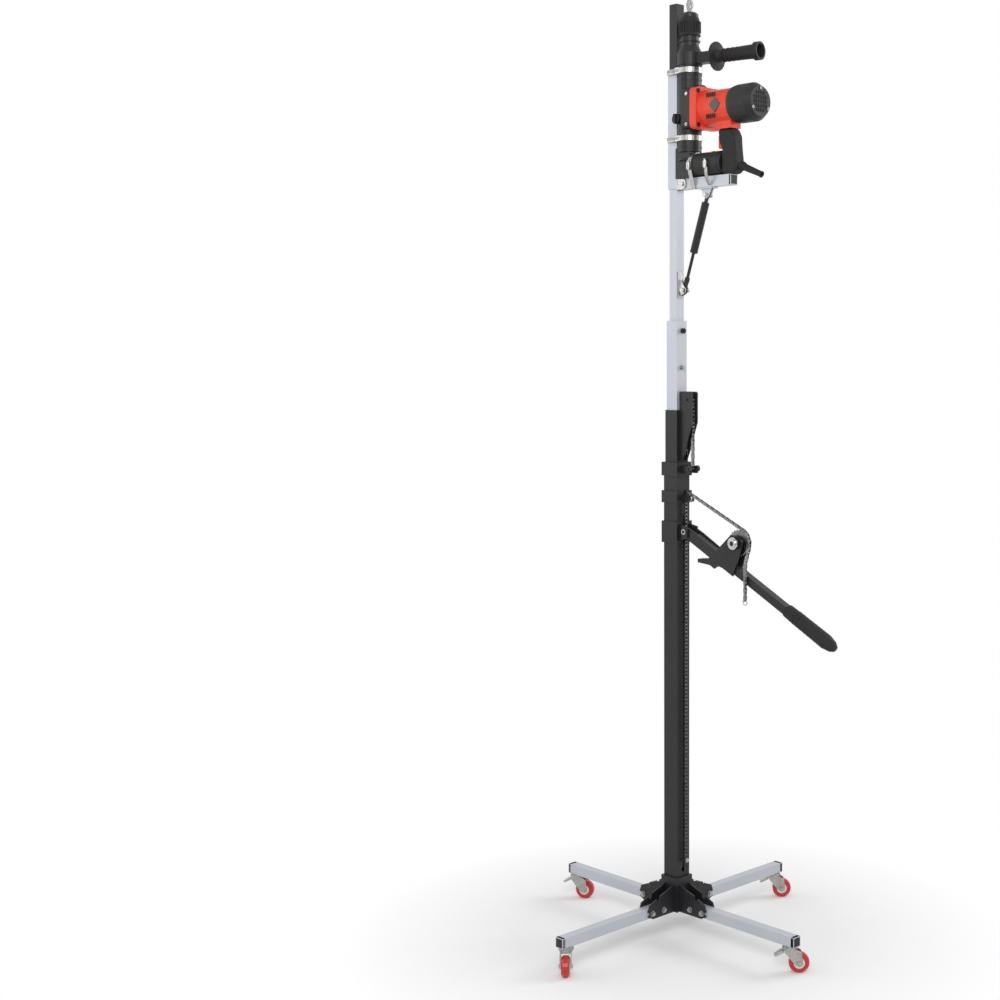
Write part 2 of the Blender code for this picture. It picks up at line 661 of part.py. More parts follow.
def make_motor(carriage):
    end = MOTOR_FACE + FLANGE_T
    flange = prism(rounded(0, 0, 0.046, 0.049, 0.012), MOTOR_FACE, end, "X")
    motor = place("motor_housing", flange, red_plastic(), carriage, (DRILL_X, 0, MOTOR_Z))
    seat = end + MOTOR_LEN
    body = turned([(0, end - 0.002), (MOTOR_R + 0.004, end - 0.002), (MOTOR_R, end + 0.020), (MOTOR_R - 0.001, seat),
                   (0, seat)], "X", 24)
    root = block((seat - 0.052, -0.018, -0.054), (seat - 0.006, 0.018, -0.030))
    add(motor, body, root)
    start = seat + RUN
    finish = start + CAP_LEN
    cap = place("motor_cap", turned(
        [(0, start), (MOTOR_R + 0.002, start), (CAP_R, start + 0.010), (CAP_R, finish - 0.016),
         (CAP_R - 0.010, finish), (0, finish)], "X", 24
    ), black_plastic(), carriage, (DRILL_X, 0, MOTOR_Z))
    return cap


def make_grips(carriage):
    """The lower grip body along the arm, and the curved rear grip that joins it to the motor."""
    start = 0.021
    end = 0.118
    barrel = turned([(0, start), (LOWER_R - 0.001, start), (LOWER_R, start + 0.004), (LOWER_R, end - 0.010),
                     (LOWER_R - 0.006, end), (0, end)], "X", 24)
    place("lower_body", barrel, black_plastic(), carriage, (DRILL_X, 0, LOWER_Z))
    top = MOTOR_Z - 0.054 - RUN
    seat = MOTOR_FACE + FLANGE_T + MOTOR_LEN
    low = ARM_TOP + RUN
    outline = [(end + RUN, low + 0.004), (end + 0.012, low), (end + 0.040, low), (end + 0.050, low + 0.012),
               (seat + 0.006, low + 0.060), (seat + 0.004, top - 0.020), (seat - 0.006, top),
               (seat - 0.050, top), (seat - 0.046, top - 0.030), (seat - 0.036, low + 0.060), (end + RUN, low + 0.050)]
    grip = place("rear_grip", prism(outline, -GRIP_T / 2, GRIP_T / 2, "Y"), rubber(), carriage, (DRILL_X, 0, 0))
    soften(grip, 0.005, 1)
    slot_x = seat - 0.049
    cut(grip, block((slot_x - 0.010, -0.0075, top - 0.044), (slot_x + 0.010, 0.0075, top - 0.012)))
    trigger = pivot("trigger_guide", (DRILL_X + slot_x, 0, top - 0.028), carriage)
    press = block((-0.006, -0.007, -0.0155), (0.0045, 0.007, 0.0155))
    soften(place("trigger", press, red_plastic(), trigger), 0.001, 1)
    boot_at = Vector((DRILL_X + end + 0.050, 0, low + 0.018))
    make_boot(carriage, boot_at)


def make_boot(carriage, at):
    """The tapered strain relief of the mains lead, drooping from the grip's heel."""
    length = 0.070
    profile = [(0.0042, 0.0015), (0.0115, 0.0015), (0.0105, 0.010), (0.0085, 0.014), (0.0070, length - 0.006), (0.0080, length),
               (0.0042, length)]
    boot = place("cord_boot", turned(profile, "X", 20), rubber(), carriage, at, (0, math.radians(22), 0))
    return boot


def make_handle(carriage):
    """The side handle: a split collar round the barrel's nose, and the grip with its guard."""
    collar = place("handle_collar", pipe(BARREL_R + 0.002, BARREL_R - 0.004, COLLAR_Z + RUN, COLLAR_Z + COLLAR_H),
                   black_plastic(), carriage, (DRILL_X, 0, 0), (0, 0, HANDLE_TURN))
    middle = COLLAR_Z + COLLAR_H / 2
    add(collar, block((BARREL_R - 0.002, -0.013, middle - 0.013), (0.066, 0.013, middle + 0.013)))
    start = 0.066 + RUN
    profile = [(0, start), (0.014, start), (0.015, start + 0.005), (0.034, start + 0.010), (0.0345, start + 0.014),
               (0.016, start + 0.018), (0.0115, start + 0.028), (0.0150, start + 0.036), (0.0170, start + 0.118),
               (0.0215, start + 0.122), (0.0215, start + 0.136), (0.0165, start + 0.136), (0.0150, start + 0.118), (0, start + 0.118)]
    place("side_handle", turned(profile, "X", 20), rubber(), carriage, (DRILL_X, 0, middle), (0, 0, HANDLE_TURN))


def make_chuck(carriage):
    base = COLLAR_Z + RUN
    top = COLLAR_Z + COLLAR_H
    seat = NOSE_Z - CHUCK_H
    core = BARREL_R - 0.004 - RUN
    bore = SHANK_R + PIN_RUN
    neck = [(bore, base), (core, base), (core, top), (BARREL_R + 0.001, top + RUN), (0.0225, top + 0.016),
            (0.0225, seat - RUN), (SPINDLE_R, seat - RUN), (SPINDLE_R, NOSE_Z + RUN), (0.0210, NOSE_Z + RUN),
            (0.0205, NOSE_Z + 0.008), (0.0150, NOSE_Z + 0.012), (bore, NOSE_Z + 0.012)]
    place("chuck_neck", turned(neck, "Z", 20), black_paint(), carriage, (DRILL_X, 0, 0))
    pull = pivot("chuck_pull", (DRILL_X, 0, seat), carriage)
    step = 0.012
    sleeve = [(0.0230, 0), (CHUCK_R, 0), (CHUCK_R - 0.001, 0.006), (CHUCK_R - 0.0015, CHUCK_H - 0.010),
              (0.0215, CHUCK_H), (SPINDLE_R + PIN_RUN, CHUCK_H), (SPINDLE_R + PIN_RUN, step), (0.0230, step)]
    place("chuck_sleeve", turned(sleeve, "Z", 20), rubber(), pull)
    spin = pivot("bit_axis", (DRILL_X, 0, NOSE_Z), carriage)
    bit = [(0, -0.050), (SHANK_R, -0.050), (SHANK_R, 0.020), (BIT_R, 0.026), (BIT_R, BIT_UP - 0.007), (0, BIT_UP)]
    place("drill_bit", turned(bit, "Z", 16), zinc(), spin)


def make_mode_knob(carriage):
    hub = pivot("mode_knob_axis", (DRILL_X - 0.010, -BARREL_R - RUN, MOTOR_Z - 0.020), carriage)
    knob = place("mode_knob", rod(0.012, 0.0005, 0.011, "Y", (0, -0.011, 0), 24), black_plastic(), hub)
    add(knob, block((-0.003, -0.016, -0.011), (0.003, -0.009, 0.011)))


# Lever ------------------------------------------------------------------------------------------------------

def make_lever(lever):
    """The lever lies along its empty's +X, and the sprocket stands above it between two plates."""
    half = LEVER_W / 2
    arm = place("lever_arm", square_tube(LEVER_W, WALL, 0.030, LEVER_LEN), black_paint(), lever, turn=(0, math.pi / 2, 0))
    inner = PLATE_GAP / 2
    u, v = RATCHET_ALONG, RATCHET_UP
    floor = -half - 0.004
    outline = [(-0.011, -0.008), (0.030, floor), (u - 0.058, floor), (u - 0.052, floor - 0.016),
               (u - 0.030, floor - 0.016), (u - 0.022, floor), (u + 0.030, floor), (u + 0.020, v + 0.010),
               (u, v + 0.018), (u - 0.022, v + 0.010), (u - 0.045, half + 0.002), (0.030, half + 0.004),
               (-0.008, 0.012)]
    frame = place("ratchet_frame", prism(outline, -inner - PLATE_T, -inner, "Y"), black_paint(), lever)
    spacer = block((u - 0.020, -inner - 0.001, floor + 0.0005), (u + 0.020, inner + 0.001, -half - RUN))
    pawl_pin = rod(0.003, -inner - 0.001, inner + 0.001, "Y", (u - 0.040, 0, -half - 0.012), 12)
    shaft = rod(0.005, -inner - PLATE_T - 0.014, inner + PLATE_T + 0.008, "Y", (u, 0, v), 16)
    collar = rod(0.013, -inner - PLATE_T - 0.008, -inner - PLATE_T + 0.001, "Y", (u, 0, v), 20)
    roller = rod(0.005, inner + PLATE_T - 0.001, inner + PLATE_T + 0.012, "Y", (u + 0.004, 0, v - 0.020), 12)
    add(frame, prism(outline, inner, inner + PLATE_T, "Y"), spacer, pawl_pin, shaft, collar, roller)
    cut(frame, rod(0.004 + PIN_RUN, -0.04, 0.04, "Y", steps=12))
    start = LEVER_LEN - 0.040
    grip = place("lever_grip", turned(
        [(0, start), (0.0160, start), (GRIP_R, start + 0.030), (GRIP_R + 0.001, start + GRIP_LEN - 0.030), (GRIP_R - 0.003, start + GRIP_LEN - 0.010),
         (GRIP_R - 0.009, start + GRIP_LEN), (0, start + GRIP_LEN)], "X", 24
    ), rubber(), lever)
    cut(grip, block((start - 0.01, -half - RUN, -half - RUN), (LEVER_LEN + RUN, half + RUN, half + RUN)))
    return arm


def make_sprocket(lever):
    axle = pivot("sprocket_axle", (RATCHET_ALONG, 0, RATCHET_UP), lever)
    body = SPROCKET_R - CHAIN_T / 2 - RUN
    bore, wide, thin = 0.005 + PIN_RUN, LEVER_W / 2 - 0.0005, PULLEY_W / 2
    profile = [(bore, -wide), (0.012, -wide), (0.012, -thin), (body, -thin), (body, thin), (0.012, thin),
               (0.012, wide), (bore, wide)]
    place("chain_sprocket", turned(profile, "Y", 24), black_paint(), axle)
    hinge = pivot("pawl_axis", (RATCHET_ALONG - 0.040, 0, -LEVER_W / 2 - 0.012), lever)
    pawl = place("pawl", prism([(-0.006, 0.006), (0.014, 0.006), (0.010, -0.004), (-0.014, -0.012), (-0.048, -0.026),
                                (-0.052, -0.018), (-0.020, 0.002)], -0.010, 0.010, "Y"), black_paint(), hinge)
    return cut(pawl, rod(0.003 + PIN_RUN, -0.02, 0.02, "Y", steps=12))


def chain_over_lever():
    """(x, z) points from the guide pulley's top, over the sprocket, and down the hanging tail, in the row's frame."""
    along = Vector((math.cos(LEVER_SLOPE), -math.sin(LEVER_SLOPE)))
    up = Vector((math.sin(LEVER_SLOPE), math.cos(LEVER_SLOPE)))
    centre = Vector((LEVER_X, LEVER_Z)) + along * RATCHET_ALONG + up * RATCHET_UP
    first = Vector((chain_line() + PULLEY_R, PULLEY_Z))
    away = centre - first
    slope = math.degrees(math.atan2(away.y, away.x))
    open_angle = math.degrees(math.asin((SPROCKET_R - PULLEY_R) / away.length))
    tangent = slope + 90 + open_angle
    over_pulley = arc(first, PULLEY_R, 180, tangent, 6)
    over_sprocket = arc(centre, SPROCKET_R, tangent, 0, 10)
    tail = [(over_sprocket[-1][0], centre.y - TAIL * i / 8) for i in range(1, 9)]
    return over_pulley + over_sprocket + tail


def drape_aside(mesh, top, low, aside):
    """Bends what hangs below the top sideways, so that it passes the lever's near side."""
    for vert in mesh.vertices:
        share = min(max((top - vert.co.z) / (top - low), 0), 1)
        vert.co.y -= aside * share * share * (3 - 2 * share)


def make_lever_chain():
    """The chain from the guide pulley over the sprocket, with its slack end hanging past the lever."""
    points = chain_over_lever()
    chain = strip(points, "lever_chain", chain_steel())
    top = points[-8][1]
    drape_aside(chain.data, top, top - TAIL * 3 / 8, LEVER_W / 2 + CHAIN_W / 2 + 0.0015)
    return chain


def build():
    clear_scene()
    make_hub()
    headings = {"right": (0, 45), "rear": (90, -45), "left": (180, -150), "front": (270, 45)}
    for name, (turn, heading) in headings.items():
        fold = make_leg(name, math.radians(turn))
        make_caster(name, fold, math.radians(heading))
    make_column()
    make_column_clamp()
    make_lever_bracket()
    make_pulley_bracket()
    mid = pivot("mid_lift", (0, 0, 0))
    inner = pivot("inner_lift", (0, 0, 0), mid)
    carriage = pivot("carriage_slide", (0, 0, 0), inner)
    make_mid(mid)
    make_pulleys(mid)
    make_upper_chain(mid)
    make_inner(inner)
    make_carriage(carriage)
    make_bands(carriage)
    make_housing(carriage)
    make_motor(carriage)
    make_grips(carriage)
    make_handle(carriage)
    make_chuck(carriage)
    make_mode_knob(carriage)
    cylinder = pivot("strut_hinge", STRUT_TOP, carriage, (0, strut_turn(), 0))
    make_strut(cylinder, pivot("strut_stroke", (0, 0, 0), cylinder))
    lever = pivot("lever_swing", (LEVER_X, 0, LEVER_Z), turn=(0, LEVER_SLOPE, 0))
    make_lever(lever)
    make_sprocket(lever)
    make_lever_chain()


build()
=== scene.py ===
# %% [markdown]
# # A core drill rig
# A rotary hammer rides a square mast, which a hand lever and two chains raise for drilling overhead.
# The solid frame gives every place and size. Each cell below adds one thing that the frame leaves plain,
# such as chain links, clamp screws, knurling or a finish, and puts it where the frame says.

# %% Load the frame
import json
import math

import bmesh
import bpy
from mathutils import Matrix, Vector


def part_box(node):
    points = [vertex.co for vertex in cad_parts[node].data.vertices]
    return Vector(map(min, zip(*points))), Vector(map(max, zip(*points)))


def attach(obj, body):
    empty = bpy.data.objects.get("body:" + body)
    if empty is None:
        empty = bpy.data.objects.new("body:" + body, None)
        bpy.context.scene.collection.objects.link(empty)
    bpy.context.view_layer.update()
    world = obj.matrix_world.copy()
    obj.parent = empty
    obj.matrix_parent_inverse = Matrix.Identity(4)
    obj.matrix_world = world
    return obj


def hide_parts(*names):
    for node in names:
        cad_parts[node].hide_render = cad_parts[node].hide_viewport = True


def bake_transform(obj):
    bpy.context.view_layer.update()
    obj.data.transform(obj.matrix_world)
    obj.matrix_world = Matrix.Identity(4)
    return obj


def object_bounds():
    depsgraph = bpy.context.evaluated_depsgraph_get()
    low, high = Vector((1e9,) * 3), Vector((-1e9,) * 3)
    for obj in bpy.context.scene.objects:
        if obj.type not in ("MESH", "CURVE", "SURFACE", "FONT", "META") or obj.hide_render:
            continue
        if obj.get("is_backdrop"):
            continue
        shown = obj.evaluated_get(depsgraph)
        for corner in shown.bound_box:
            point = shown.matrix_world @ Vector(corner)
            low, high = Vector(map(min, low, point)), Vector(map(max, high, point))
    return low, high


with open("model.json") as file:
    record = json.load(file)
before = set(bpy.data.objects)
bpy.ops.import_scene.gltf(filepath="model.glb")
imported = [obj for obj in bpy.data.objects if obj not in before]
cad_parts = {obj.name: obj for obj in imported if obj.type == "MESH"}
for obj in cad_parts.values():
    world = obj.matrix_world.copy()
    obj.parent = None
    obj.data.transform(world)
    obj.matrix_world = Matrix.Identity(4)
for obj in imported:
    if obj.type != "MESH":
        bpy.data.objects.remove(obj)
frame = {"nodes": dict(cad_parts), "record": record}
cad_low, cad_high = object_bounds()
nodes = frame["nodes"]
print("nodes", len(nodes), "box", [round(v, 3) for v in cad_low], [round(v, 3) for v in cad_high])

# %% [markdown]
# ## Small helpers for shapes
# Nearly every small part here is a disc, a bar or a plate. Each helper adds one to an open bmesh, already in
# place, so that a finished object sits at the origin unturned, as the frame's own objects do.

# %% Shape helpers
AXIS_TURN = {
    "X": Matrix.Rotation(math.pi / 2, 4, "Y"),
    "Y": Matrix.Rotation(-math.pi / 2, 4, "X"),
    "Z": Matrix.Identity(4),
}


def disc(bm, centre, radius, depth, axis="Z", steps=16, top=None, turn=None):
    """A cylinder or cone about an axis through its middle."""
    place = Matrix.Translation(centre) @ (turn or AXIS_TURN[axis])
    tip = radius if top is None else top
    return bmesh.ops.create_cone(
        bm, cap_ends=True, segments=steps, radius1=radius, radius2=tip, depth=depth, matrix=place
    )["verts"]


def bar(bm, low, high, round_by=0.0, turn=None):
    """A box between two corners, with its edges rounded."""
    low, high = Vector(low), Vector(high)
    size = Matrix.Diagonal((*(high - low), 1))
    place = (turn or Matrix.Identity(4)) @ Matrix.Translation((low + high) / 2) @ size
    verts = bmesh.ops.create_cube(bm, size=1, matrix=place)["verts"]
    if round_by:
        edges = list({edge for vert in verts for edge in vert.link_edges})
        bmesh.ops.bevel(
            bm, geom=edges, offset=round_by, segments=2, profile=0.5, affect="EDGES", material=-1
        )
    return verts


def ring(bm, centre, inner, outer, depth, axis="Z", steps=32):
    """A flat ring, spun from a square section."""
    turn = Matrix.Translation(centre) @ AXIS_TURN[axis]
    section = [(inner, 0, -depth / 2), (outer, 0, -depth / 2), (outer, 0, depth / 2), (inner, 0, depth / 2)]
    verts = [bm.verts.new(turn @ Vector(point)) for point in section]
    edges = [bm.edges.new((verts[i], verts[(i + 1) % 4])) for i in range(4)]
    direction = turn.to_3x3() @ Vector((0, 0, 1))
    bmesh.ops.spin(
        bm, geom=verts + edges, cent=centre, axis=direction, angle=math.tau, steps=steps, use_merge=True
    )


def piece(name, bm, body, finish, smooth=False):
    """Closes a bmesh into an object that rides on a body."""
    bmesh.ops.remove_doubles(bm, verts=bm.verts, dist=1e-6)
    bmesh.ops.recalc_face_normals(bm, faces=bm.faces)
    mesh = bpy.data.meshes.new(name)
    bm.to_mesh(mesh)
    bm.free()
    for polygon in mesh.polygons:
        polygon.use_smooth = smooth
    made = bpy.data.objects.new(name, mesh)
    bpy.context.scene.collection.objects.link(made)
    mesh.materials.append(finish)
    if body:
        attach(made, body)
    print(name, len(mesh.polygons), "faces on", body)
    return made


# %% [markdown]
# ## Shader arithmetic
# A Wire holds one output socket. Adding or multiplying wires adds the Math nodes, so a pattern reads like a
# formula. The node method makes every other kind of node, with its settings first and its sockets after.

# %% Wires for materials
class Wire:
    def __init__(self, tree, output=None):
        self.tree = tree
        self.output = output

    def node(self, kind, settings=None, sockets=None, out=0):
        made = self.tree.nodes.new(kind)
        for name, value in (settings or {}).items():
            if name == "stops":
                for element, (place, shade) in zip(made.color_ramp.elements, value):
                    element.position = place
                    element.color = (shade, shade, shade, 1)
            else:
                setattr(made, name, value)
        for key, value in (sockets or {}).items():
            if isinstance(value, Wire):
                self.tree.links.new(value.output, made.inputs[key])
            else:
                made.inputs[key].default_value = value
        return Wire(self.tree, made.outputs[out])

    def math(self, operation, first, second):
        return self.node("ShaderNodeMath", {"operation": operation}, {0: first, 1: second})

    def __add__(self, other):
        return self.math("ADD", self, other)

    def __radd__(self, other):
        return self.math("ADD", other, self)

    def __sub__(self, other):
        return self.math("SUBTRACT", self, other)

    def __rsub__(self, other):
        return self.math("SUBTRACT", other, self)

    def __mul__(self, other):
        return self.math("MULTIPLY", self, other)

    def __rmul__(self, other):
        return self.math("MULTIPLY", other, self)

    def ramp(self, low, high):
        stops = [(low, 0.0), (high, 1.0)]
        return self.node("ShaderNodeValToRGB", {"stops": stops}, {"Fac": self})

    def blend(self, first, second):
        """Goes from the first colour to the second as this mask goes from 0 to 1."""
        return self.node("ShaderNodeMix", {"data_type": "RGBA"}, {0: self, 6: first, 7: second}, out=2)


def noise(root, scale, detail=2.0, stretch=(1, 1, 1)):
    """Noise on Object coordinates, with the pattern drawn out along an axis where the finish has a lay."""
    place = root.node("ShaderNodeTexCoord", out=3)
    drawn = root.node("ShaderNodeMapping", sockets={"Vector": place, "Scale": stretch})
    return root.node("ShaderNodeTexNoise", sockets={"Vector": drawn, "Scale": scale, "Detail": detail})


def cells(root, scale):
    """The random shade of each Voronoi cell, for flakes and spangle."""
    place = root.node("ShaderNodeTexCoord", out=3)
    flake = root.node("ShaderNodeTexVoronoi", sockets={"Vector": place, "Scale": scale}, out=1)
    return root.node("ShaderNodeSeparateColor", sockets={"Color": flake})


def start(name):
    material = bpy.data.materials.new(name)
    material.use_nodes = True
    shader = material.node_tree.nodes["Principled BSDF"]
    return material, shader, Wire(material.node_tree)


def connect(shader, root, **values):
    names = {"colour": "Base Color", "roughness": "Roughness", "metallic": "Metallic", "normal": "Normal"}
    for key, value in values.items():
        if isinstance(value, Wire):
            root.tree.links.new(value.output, shader.inputs[names[key]])
        else:
            shader.inputs[names[key]].default_value = value


def bump(root, height, strength, distance):
    sockets = {"Height": height, "Strength": strength, "Distance": distance}
    return root.node("ShaderNodeBump", sockets=sockets)


# %% [markdown]
# ## Powder coat and paint
# Powder coat cures with a fine orange peel, and handling rubs pale scuffs into it. The silver legs and mast
# are sprayed with a flake paint, so tiny cells change its shade. A coat of clear is not needed for either.

# %% Powder coat
def powder_coat(name, colour, scuff, shine):
    material, shader, root = start(name)
    peel = noise(root, 900, 3)
    cloud = noise(root, 14, 4)
    rubbed = noise(root, 60, 8).ramp(0.62, 0.78)
    tone = cloud.blend((*[c * 0.75 for c in colour], 1), (*[c * 1.35 for c in colour], 1))
    connect(
        shader, root,
        colour=(rubbed * 0.35).blend(tone, (*scuff, 1)),
        roughness=shine + cloud * 0.16 + rubbed * 0.12,
        normal=bump(root, peel, 0.35, 0.0003),
    )
    shader.inputs["Specular IOR Level"].default_value = 0.30
    return material


black_coat = powder_coat("black_powder_coat", (0.016, 0.016, 0.018), (0.06, 0.06, 0.062), 0.34)


# %% Flake paint
def flake_paint():
    material, shader, root = start("silver_flake_paint")
    flake = cells(root, 2600)
    cloud = noise(root, 9, 4)
    rubbed = noise(root, 75, 8).ramp(0.64, 0.80)
    tone = cloud.blend((0.42, 0.44, 0.49, 1), (0.52, 0.54, 0.59, 1))
    tone = (flake * 0.22).blend(tone, (0.68, 0.70, 0.74, 1))
    connect(
        shader, root,
        colour=(rubbed * 0.3).blend(tone, (0.24, 0.25, 0.27, 1)),
        roughness=0.30 + flake * 0.12 + cloud * 0.08,
        normal=bump(root, noise(root, 700, 2), 0.18, 0.0002),
    )
    shader.inputs["Metallic"].default_value = 0.25
    return material


silver_coat = flake_paint()
print("paints", black_coat.name, silver_coat.name)

# %% [markdown]
# ## Bare and plated metal
# Zinc plate has a soft spangle and a warm cast. Chain steel is dark with oil, thicker in places. The drill's
# flutes are ground bright, with fine marks that run round the bit.

# %% Plated and ground metal
def metal(name, dark, light, rough, spread, scale, lay=(1, 1, 1), scratch=0.25):
    material, shader, root = start(name)
    spangle = cells(root, scale)
    grind = noise(root, 420, 3, lay)
    grime = noise(root, 35, 6).ramp(0.50, 0.75)
    tone = spangle.blend((*dark, 1), (*light, 1))
    connect(
        shader, root,
        colour=(grime * 0.35).blend(tone, (*[c * 0.4 for c in dark], 1)),
        roughness=rough + grind * spread + grime * 0.15,
        normal=bump(root, grind, scratch, 0.0002),
    )
    shader.inputs["Metallic"].default_value = 1.0
    return material


zinc_plate = metal("zinc_plate", (0.36, 0.355, 0.34), (0.50, 0.49, 0.47), 0.24, 0.18, 320)
chain_steel = metal("oiled_chain_steel", (0.15, 0.15, 0.155), (0.27, 0.27, 0.275), 0.24, 0.18, 500)
ground_steel = metal("ground_steel", (0.30, 0.30, 0.30), (0.44, 0.44, 0.44), 0.18, 0.18, 600, (1, 1, 9))
chrome_plate = metal("chrome_plate", (0.48, 0.49, 0.51), (0.60, 0.61, 0.63), 0.07, 0.07, 200, scratch=0.08)
print("metals", zinc_plate.name, chain_steel.name, ground_steel.name, chrome_plate.name)

# %% [markdown]
# ## Moulded plastic and rubber
# A mould leaves an even grain, and a casting a coarser one. Rubber is the dullest, and hands polish patches
# of it. The wheels and the badge have a glossy skin, so they alone get a coat.

# %% Moulded finishes
def moulded(name, colour, grain, depth, rough, coat=0.0, wear=0.15):
    material, shader, root = start(name)
    skin = noise(root, grain, 3)
    cloud = noise(root, 22, 4)
    polished = noise(root, 48, 6).ramp(0.55, 0.75)
    dusty = [c * 0.85 + 0.012 for c in colour]
    connect(
        shader, root,
        colour=(cloud * wear + polished * wear).blend((*colour, 1), (*dusty, 1)),
        roughness=rough + cloud * 0.12 - polished * 0.10,
        normal=bump(root, skin, 0.4, depth),
    )
    shader.inputs["Coat Weight"].default_value = coat
    shader.inputs["Specular IOR Level"].default_value = 0.35
    return material


red_plastic = moulded("red_moulded_plastic", (0.78, 0.055, 0.022), 800, 0.00018, 0.34, wear=0.3)
black_plastic = moulded("black_moulded_plastic", (0.013, 0.013, 0.014), 620, 0.0004, 0.46)
cast_black = moulded("black_cast_housing", (0.012, 0.012, 0.013), 300, 0.0006, 0.36)
rubber = moulded("grip_rubber", (0.011, 0.011, 0.012), 420, 0.0005, 0.62)
wheel_red = moulded("red_tread", (0.50, 0.020, 0.018), 260, 0.0002, 0.28, coat=0.3)
white_nylon = moulded("white_nylon", (0.72, 0.72, 0.70), 500, 0.0001, 0.38)
badge_gloss = moulded("dark_badge", (0.012, 0.012, 0.013), 900, 0.00004, 0.20, coat=0.5)

# %% [markdown]
# ## Give each frame node its finish
# The record names a slot for each node. One table turns slots into the finishes above, and a few nodes that
# share a slot but not a surface are then set by name.

# %% Dress the frame
BY_SLOT = {
    "black_paint": black_coat, "silver_paint": silver_coat, "zinc": zinc_plate, "red_plastic": red_plastic,
    "black_plastic": black_plastic, "rubber": rubber, "chain_steel": chain_steel, "red_tyre": wheel_red,
}
BY_NAME = {
    "gear_housing": cast_black, "handle_collar": cast_black, "chuck_neck": cast_black,
    "strut_rod": black_coat, "chain_sprocket": chain_steel,
}


def dress(node, finish):
    materials = nodes[node].data.materials
    materials.clear()
    materials.append(finish)


for entry in frame["record"]["subparts"]:
    dress(entry["node"], BY_NAME.get(entry["node"], BY_SLOT[entry["material_slot"]]))

# %% [markdown]
# ## Where the chains run
# A roller chain has a fixed pitch, so its path is walked in equal steps. Two runs are straight, and the third
# leaves the guide pulley, wraps the sprocket and hangs. Pulley centres come from the frame's own boxes.

# %% Chain paths
PITCH = 0.009525


def middle(node):
    low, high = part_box(node)
    return (Vector(low) + Vector(high)) / 2


guide = middle("guide_pulley")
top_wheel = middle("top_pulley")
sprocket = middle("chain_sprocket")
WRAP = 0.012
TOOTH_WRAP = 0.034
near_run = guide.x - WRAP
far_run = guide.x + WRAP


def round_arc(centre, radius, first, last, steps):
    """(x, z) points round a wheel, from one angle to another in degrees."""
    angles = [math.radians(first + (last - first) * i / steps) for i in range(steps + 1)]
    return [(centre.x + radius * math.cos(a), centre.z + radius * math.sin(a)) for a in angles]


def walk(path, pitch):
    """Points at an equal pitch along a path of (x, z) points."""
    points = [Vector((x, 0, z)) for x, z in path]
    found = [points[0].copy()]
    left = pitch
    for a, b in zip(points, points[1:]):
        length = (b - a).length
        gone = 0.0
        while length - gone >= left:
            gone += left
            found.append(a.lerp(b, gone / length))
            left = pitch
        left -= length - gone
    return found


away = Vector((sprocket.x - guide.x, sprocket.z - guide.z))
slope = math.degrees(math.atan2(away.y, away.x))
leave = slope + 90 + math.degrees(math.asin((TOOTH_WRAP - WRAP) / away.length))
lift_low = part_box("lift_chain")[0][2] + 0.004
lift_path = [(near_run, lift_low), (near_run, guide.z)]
upper_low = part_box("upper_chain")[0][2] + 0.004
upper_tail = 1.156
upper_path = [(far_run, upper_low)] + round_arc(top_wheel, WRAP, 0, 180, 12) + [(near_run, upper_tail)]
over_wheels = round_arc(guide, WRAP, 180, leave, 8) + round_arc(sprocket, TOOTH_WRAP, leave, 0, 14)
tail_top = over_wheels[-1][1]
tail_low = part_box("lever_chain")[0][2] + 0.012
lever_path = over_wheels + [(over_wheels[-1][0], tail_low)]
print("chain starts", round(lift_low, 4), round(upper_low, 4), "tail", round(tail_top - tail_low, 4))

# %% [markdown]
# ## Chain links
# Pairs of plates alternate between wide and narrow, on pins that carry rollers. Stretching half of a short
# cylinder by one pitch gives the rounded plate in one move, and there are hundreds, so each has few faces.

# %% Build one chain
PLATE_R = 0.0033


def link(bm, a, b, wide):
    """Two rounded plates from one pin to the next, and the roller and pin at the first."""
    along = (b - a).normalized()
    side = Vector((0, 1, 0))
    up = side.cross(along)
    frame_turn = Matrix((along, side, up)).transposed().to_4x4()
    offset = 0.0034 if wide else 0.0024
    for sign in (1, -1):
        verts = disc(bm, (0, 0, 0), PLATE_R, 0.0008, "Y", 8)
        for vert in verts:
            if vert.co.x > 1e-6:
                vert.co.x += (b - a).length
        shift = Matrix.Translation(a + side * sign * offset) @ frame_turn
        bmesh.ops.transform(bm, matrix=shift, verts=verts)
    disc(bm, a, 0.0024, 0.0040, "Y", 8)
    disc(bm, a, 0.0012, 0.0080, "Y", 6)


def chain(name, path, node, hang=None):
    pins = walk(path, PITCH)
    if hang:
        top, low, aside = hang
        for pin in pins:
            share = min(max((top - pin.z) / (top - low), 0), 1) if pin.x > sprocket.x else 0
            pin.y -= aside * share * share * (3 - 2 * share)
    bm = bmesh.new()
    for index, (a, b) in enumerate(zip(pins, pins[1:])):
        link(bm, a, b, index % 2 == 0)
    made = piece(name, bm, None, chain_steel)
    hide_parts(node)
    print(name, len(pins) - 1, "links")
    return made, pins


lift_links, _ = chain("lift_chain_links", lift_path, "lift_chain")
upper_links, _ = chain("upper_chain_links", upper_path, "upper_chain")
lever_links, lever_pins = chain(
    "lever_chain_links", lever_path, "lever_chain", (tail_top, tail_top - 0.056, 0.0157)
)

# %% [markdown]
# The slack end carries a split ring, so that it can't run back over the sprocket.

# %% Ring on the slack end
bm = bmesh.new()
tail_end = lever_pins[-1]
ring(bm, (tail_end.x, tail_end.y, tail_end.z - 0.0045), 0.0052, 0.0072, 0.0018, "Y", 24)
piece("tail_ring", bm, "lever", zinc_plate)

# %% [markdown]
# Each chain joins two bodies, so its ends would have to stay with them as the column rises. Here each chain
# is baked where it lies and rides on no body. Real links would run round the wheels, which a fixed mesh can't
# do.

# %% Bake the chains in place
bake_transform(lift_links)
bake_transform(upper_links)
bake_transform(lever_links)

